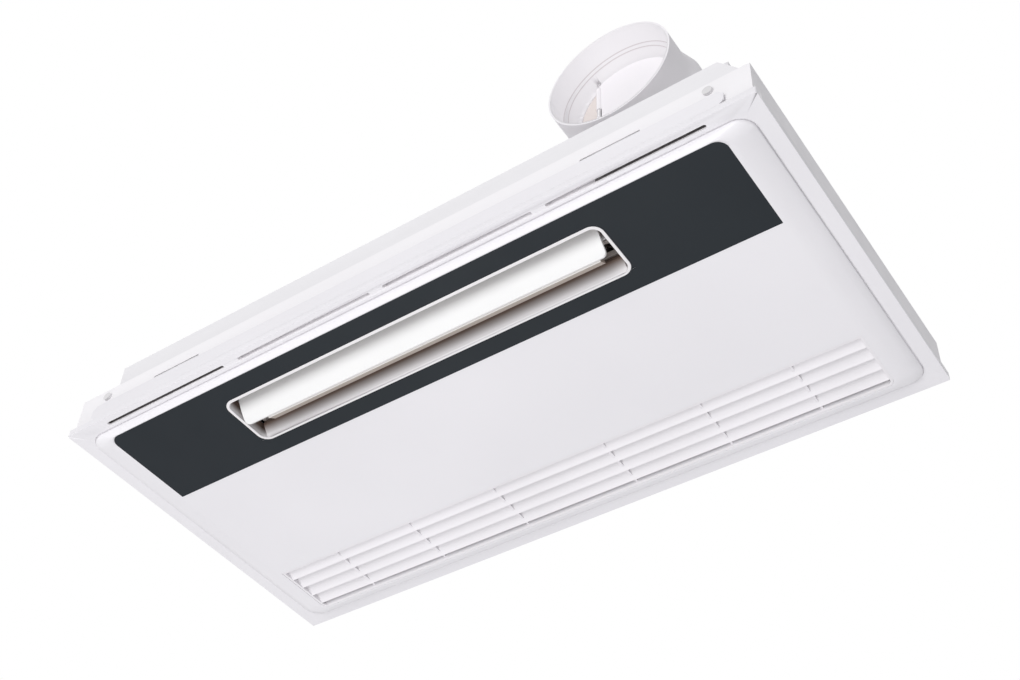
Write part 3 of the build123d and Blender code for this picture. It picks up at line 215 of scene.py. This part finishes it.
def slits_painted_shade_and_light(finish):
    """Painted shade on the walls of the slits where they open on the inside of the mounting frame, and painted
    light on the shaded walls over its lip.
    """
    tree, shader, x, y, z = opened(finish)
    across = within(tree, y, slit_line)
    # Painted light: the shaded slit walls over the frame's lip are lightened
    slit_painted_light = sums(tree, "MULTIPLY", across, within(tree, z, slit_rise))
    tinted(tree, shader, slit_painted_light, (0.97, 0.95, 0.97))
    along = sums(tree, "ADD", *(within(tree, x, run) for run in slit_shade_runs))
    # Painted shade: the slit walls that look onto the dark inside of the frame are darkened
    slit_painted_shade = sums(tree, "MULTIPLY", across, within(tree, z, slit_shade_rise))
    tinted(tree, shader, sums(tree, "MULTIPLY", slit_painted_shade, along), (0.20, 0.185, 0.185))
    return finish


def shaded_step(finish):
    """Painted shade: a faint double shadow line round the step inside the spigot."""
    tree, shader, x, y, z = opened(finish)
    aside = sums(tree, "SUBTRACT", x, spigot_axis[0])
    above = sums(tree, "SUBTRACT", z, spigot_axis[1])
    reach = sums(tree, "MULTIPLY_ADD", aside, aside, sums(tree, "MULTIPLY", above, above))
    inside = sums(tree, "LESS_THAN", reach, spigot_inside ** 2)
    lines = sums(tree, "ADD", *(within(tree, y, line) for line in step_shadow_lines))
    tinted(tree, shader, sums(tree, "MULTIPLY", lines, inside), (0.66, 0.61, 0.63))
    return finish


def painted_pocket_shade(finish):
    """Painted shade: a warm darkening that deepens with the height inside the outlet's pocket."""
    tree, shader, x, y, z = opened(finish)
    tinted(tree, shader, climb(tree, z, pocket_from, pocket_to), (0.18, 0.125, 0.10))
    return finish


def painted_louver_back_shade(finish):
    """Painted shade: a warm darkening on the back and the lip of the louver, behind its bowed face."""
    tree, shader, x, y, z = opened(finish)
    across = sums(tree, "MULTIPLY_ADD", y, sin(louver_tilt), sums(tree, "MULTIPLY", z, cos(louver_tilt)))
    tinted(tree, shader, climb(tree, across, blade_front, blade_back), (0.42, 0.35, 0.30))
    return finish


# Four finishes carry painted marks: painted shade and light in the panel's slits, and painted shade in the
# bezel's pocket, on the louver's back and at the spigot's step
finishes = {
    "panel white": slits_painted_shade_and_light(
        moulded_plastic("panel white", (0.83, 0.815, 0.84), (0.80, 0.785, 0.81), 0.40)),
    "bezel white": painted_pocket_shade(
        moulded_plastic("bezel white", (0.86, 0.84, 0.85), (0.82, 0.80, 0.81), 0.38)),
    "grille white": moulded_plastic("grille white", (0.84, 0.82, 0.845), (0.80, 0.78, 0.80), 0.42),
    "louver white": painted_louver_back_shade(
        moulded_plastic("louver white", (0.84, 0.84, 0.835), (0.81, 0.81, 0.805), 0.34)),
    "spigot white": shaded_step(
        moulded_plastic("spigot white", (0.87, 0.85, 0.87), (0.83, 0.81, 0.83), 0.55)),
    "smoked inlay": moulded_plastic("smoked inlay", (0.0135, 0.0185, 0.0235), (0.0115, 0.016, 0.021), 0.36,
                                    grain=1400.0, gloss=0.22),
    "housing paint": coated_sheet("housing paint", (0.84, 0.83, 0.845), (0.80, 0.79, 0.805), 0.5),
    "frame paint": coated_sheet("frame paint", (0.90, 0.885, 0.90), (0.86, 0.845, 0.86), 0.5),
    "zinc": coated_sheet("zinc", (0.74, 0.73, 0.74), (0.64, 0.63, 0.64), 0.42, metallic=0.5),
    "duct plastic": moulded_plastic("duct plastic", (0.74, 0.68, 0.65), (0.68, 0.62, 0.59), 0.5),
    "grey plastic": moulded_plastic("grey plastic", (0.22, 0.22, 0.23), (0.17, 0.17, 0.18), 0.5),
    "fan metal": coated_sheet("fan metal", (0.70, 0.67, 0.65), (0.62, 0.59, 0.57), 0.4, metallic=0.35),
    "bright steel": drawn_steel("bright steel", (0.62, 0.61, 0.60), (0.50, 0.50, 0.50), 0.28),
    "motor paint": coated_sheet("motor paint", (0.22, 0.23, 0.24), (0.17, 0.18, 0.19), 0.4, metallic=0.3),
    "board": circuit_board("board"),
}

coats = {
    "panel white": ("face_panel", "terminal_block"),
    "bezel white": ("outlet_bezel",),
    "grille white": ("intake_grille",),
    "louver white": ("swing_louver",),
    "smoked inlay": ("dark_inlay",),
    "spigot white": ("duct_adapter", "backdraft_flap"),
    "housing paint": ("housing_tray", "housing_box", "top_cover"),
    "frame paint": ("mounting_frame",),
    "zinc": ("mounting_brackets", "base_plate", "motor_bracket", "frame_screws", "panel_clips",
             "louver_drive_shaft", "louver_idler_pin", "flap_pin", "flap_spring"),
    "duct plastic": ("blower_casing", "heater_frame", "louver_motor"),
    "grey plastic": ("rotor_bearing", "exhaust_scroll", "scroll_inlet_ring", "exhaust_wheel", "control_box",
                     "cable_gland", "gland_nut"),
    "fan metal": ("blower_rotor", "heater_element"),
    "motor paint": ("rotor_motor", "exhaust_motor"),
    "board": ("control_board", "receiver_board"),
    "bright steel": ("rotor_shaft", "exhaust_shaft"),
}
finish_of = {node: finish for finish, group in coats.items() for node in group}


def coat(piece, finish):
    """The finish alone on a piece."""
    if piece.material_slots:
        for held in piece.material_slots:
            held.material = finishes[finish]
    else:
        piece.data.materials.append(finishes[finish])


for name, piece in nodes.items():
    coat(piece, finish_of[name])


# Pieces

def placed(name, shape, finish, body):
    """A bmesh made a piece with its finish, riding on a body."""
    mesh = bpy.data.meshes.new(name)
    shape.to_mesh(mesh)
    shape.free()
    piece = bpy.data.objects.new(name, mesh)
    bpy.context.collection.objects.link(piece)
    coat(piece, finish)
    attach(piece, body)
    return piece


def smoothed(shape):
    """Every face of a bmesh shaded smooth."""
    for face in shape.faces:
        face.smooth = True


def softened(node, radius, body, levelled=False):
    """A smooth copy in place of a node, with its sharp edges rounded or its flats shaded level."""
    shape = bmesh.new()
    shape.from_mesh(nodes[node].data)
    bmesh.ops.remove_doubles(shape, verts=shape.verts, dist=merge_gap)
    if radius:
        bmesh.ops.dissolve_limit(shape, angle_limit=flat_angle, verts=shape.verts, edges=shape.edges)
    smoothed(shape)
    piece = placed("soft_" + node, shape, finish_of[node], body)
    piece.data.set_sharp_from_angle(angle=crease_angle)
    if radius:
        edge = piece.modifiers.new("edge", "BEVEL")
        edge.limit_method = "ANGLE"
        edge.angle_limit = bevel_angle
        edge.width = radius
        edge.segments = 2
        edge.use_clamp_overlap = False
        edge.harden_normals = True
    if levelled:
        level = piece.modifiers.new("level", "WEIGHTED_NORMAL")
        level.mode = "FACE_AREA"
        level.keep_sharp = True
    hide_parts(node)


softened("face_panel", 0, "module", levelled=True)
softened("outlet_bezel", 0.0003, "module")
softened("duct_adapter", 0, "module")
softened("swing_louver", 0.0003, "louver")


def seat_segment():
    """The fixed wall beside the flap's hinge, in the plane of the flap's seat."""
    flap_low, flap_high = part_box("backdraft_flap")
    plate_low, plate_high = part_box("duct_adapter")
    middle_x = (plate_low[0] + plate_high[0]) / 2
    middle_z = (plate_low[2] + plate_high[2]) / 2
    radius = 0.0402
    wall = 0.0015
    hinge_gap = 0.0003
    shape = bmesh.new()
    bmesh.ops.create_circle(shape, segments=96, radius=radius, cap_ends=True,
                            matrix=Matrix.Translation((middle_x, flap_high[1] + wall, middle_z))
                            @ Matrix.Rotation(pi / 2, 4, "X"))
    bmesh.ops.bisect_plane(shape, geom=shape.verts[:] + shape.edges[:] + shape.faces[:],
                           plane_co=(flap_low[0] - hinge_gap, 0, 0), plane_no=(1, 0, 0), clear_outer=True)
    grown = bmesh.ops.extrude_face_region(shape, geom=shape.faces[:])
    moved = [item for item in grown["geom"] if isinstance(item, bmesh.types.BMVert)]
    bmesh.ops.translate(shape, verts=moved, vec=(0, -wall, 0))
    bmesh.ops.recalc_face_normals(shape, faces=shape.faces)
    placed("seat_segment", shape, "duct plastic", "module")


seat_segment()


def coil_spring():
    """The flap's return spring: close turns of wire round the pin."""
    turns = 7
    steps = 18
    wire_share = 0.9
    lowest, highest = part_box("flap_spring")
    wire = (highest[2] - lowest[2]) / (turns + 1) / 2
    axis = Vector(((lowest[0] + highest[0]) / 2, (lowest[1] + highest[1]) / 2, lowest[2] + wire))
    radius = (highest[0] - lowest[0]) / 2 - wire
    shape = bmesh.new()
    bmesh.ops.create_circle(shape, segments=8, radius=wire * wire_share, cap_ends=True,
                            matrix=Matrix.Translation(axis + Vector((radius, 0, 0)))
                            @ Matrix.Rotation(pi / 2, 4, "X"))
    bmesh.ops.spin(shape, geom=list(shape.faces), cent=axis, axis=(0, 0, 1), dvec=(0, 0, 2 * wire / steps),
                   angle=2 * pi * turns, steps=turns * steps)
    bmesh.ops.recalc_face_normals(shape, faces=shape.faces)
    smoothed(shape)
    spring = placed("coil_spring", shape, "zinc", "module")
    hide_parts("flap_spring")


coil_spring()


def pan_head(shape, place, outward, radius, height):
    """One low domed screw head with a recess, standing on a face."""
    recess_edge, recess_depth = 0.12, 0.35
    turn = Vector(outward).to_track_quat("Z", "Y").to_matrix().to_4x4()
    rows = ((radius, 0.0), (radius * 0.97, height * 0.45),
            (radius * 0.8, height * 0.85), (radius * 0.45, height))
    rim = None
    for reach, rise in rows:
        ring = bmesh.ops.create_circle(shape, segments=20, radius=reach, cap_ends=False,
                                       matrix=Matrix.Translation(place) @ turn @ Matrix.Translation((0, 0, rise)))
        edges = list({edge for vert in ring["verts"] for edge in vert.link_edges})
        if rim:
            bmesh.ops.bridge_loops(shape, edges=rim + edges)
        rim = edges
    top = bmesh.ops.contextual_create(shape, geom=rim)["faces"]
    bmesh.ops.inset_region(shape, faces=top, thickness=radius * recess_edge, depth=-height * recess_depth)


def screws(name, places, outward, radius, height):
    """A set of like screws as one piece."""
    shape = bmesh.new()
    for place in places:
        pan_head(shape, Vector(place), outward, radius, height)
    bmesh.ops.recalc_face_normals(shape, faces=shape.faces)
    smoothed(shape)
    piece = placed(name, shape, "zinc", "module")
    piece.data.set_sharp_from_angle(angle=head_crease)


plate_low, plate_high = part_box("duct_adapter")
front_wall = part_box("housing_box")[0][1]
screw_inset = 0.007
plate_wall = 0.0025
corners = [(x, front_wall - plate_wall, z)
           for x in (plate_low[0] + screw_inset, plate_high[0] - screw_inset)
           for z in (plate_low[2] + screw_inset, plate_high[2] - screw_inset)]
screws("adapter_screws", corners, (0, -1, 0), 0.0034, 0.0018)

# Camera, light and floor. The camera is the one fitted to the corners of the panel's flange.

lens = bpy.data.cameras.new("view")
lens.lens = 52.13
lens.sensor_width = 36.0
lens.clip_start = 0.01
lens.clip_end = 50.0
camera = bpy.data.objects.new("view", lens)
camera.location = (0.496385, -0.653315, -0.756697)
camera.rotation_euler = (2.360052, -0.037710, 0.599474)
bpy.context.collection.objects.link(camera)
bpy.context.scene.camera = camera
bpy.context.scene.view_settings.view_transform = "Standard"


def soft_lamp(name, place, aim, size, power):
    """A large square lamp at a place, turned to its aim."""
    light = bpy.data.lights.new(name, "AREA")
    light.shape = "SQUARE"
    light.size = size
    light.energy = power
    lamp = bpy.data.objects.new(name, light)
    lamp.location = place
    lamp.rotation_euler = (Vector(aim) - Vector(place)).to_track_quat("-Z", "Y").to_euler()
    bpy.context.collection.objects.link(lamp)


soft_lamp("key", (0.15, -2.6, -0.75), (0, 0, 0.03), 1.8, 41.0)
soft_lamp("under", (-0.4, 0.1, -1.9), (0, 0, 0), 2.2, 16.5)
soft_lamp("over", (-0.8, 0.6, 2.4), (0, 0, 0), 2.0, 14.0)

world = bpy.data.worlds.new("studio")
world.use_nodes = True
bpy.context.scene.world = world
sky = world.node_tree
sky.nodes.clear()
seen = sky.nodes.new("ShaderNodeLightPath").outputs
looked_at = sums(sky, "MAXIMUM", seen["Is Camera Ray"], seen["Is Glossy Ray"])
looked_at = sums(sky, "MAXIMUM", looked_at, seen["Is Transmission Ray"])


def glow(colour, strength):
    """A plain light from all round."""
    backdrop = sky.nodes.new("ShaderNodeBackground")
    backdrop.inputs["Color"].default_value = (*colour, 1)
    backdrop.inputs["Strength"].default_value = strength
    return backdrop.outputs[0]


pick = sky.nodes.new("ShaderNodeMixShader")
result = sky.nodes.new("ShaderNodeOutputWorld")
sky.links.new(looked_at, pick.inputs["Fac"])
sky.links.new(glow((0.97, 0.97, 1.0), 0.5), pick.inputs[1])
sky.links.new(glow((1, 1, 1), 1.0), pick.inputs[2])
sky.links.new(pick.outputs[0], result.inputs["Surface"])

floor_level = -2.4
floor_reach = 6.0
floor_mesh = bpy.data.meshes.new("floor")
shape = bmesh.new()
bmesh.ops.create_grid(shape, x_segments=1, y_segments=1, size=floor_reach)
bmesh.ops.translate(shape, verts=shape.verts, vec=(0, 0, floor_level))
shape.to_mesh(floor_mesh)
shape.free()
floor = bpy.data.objects.new("floor", floor_mesh)
bpy.context.collection.objects.link(floor)
pale, _, pale_shader, _ = new_finish("pale floor")
pale_shader.inputs["Base Color"].default_value = (0.9, 0.9, 0.9, 1)
pale_shader.inputs["Roughness"].default_value = 0.8
floor_mesh.materials.append(pale)
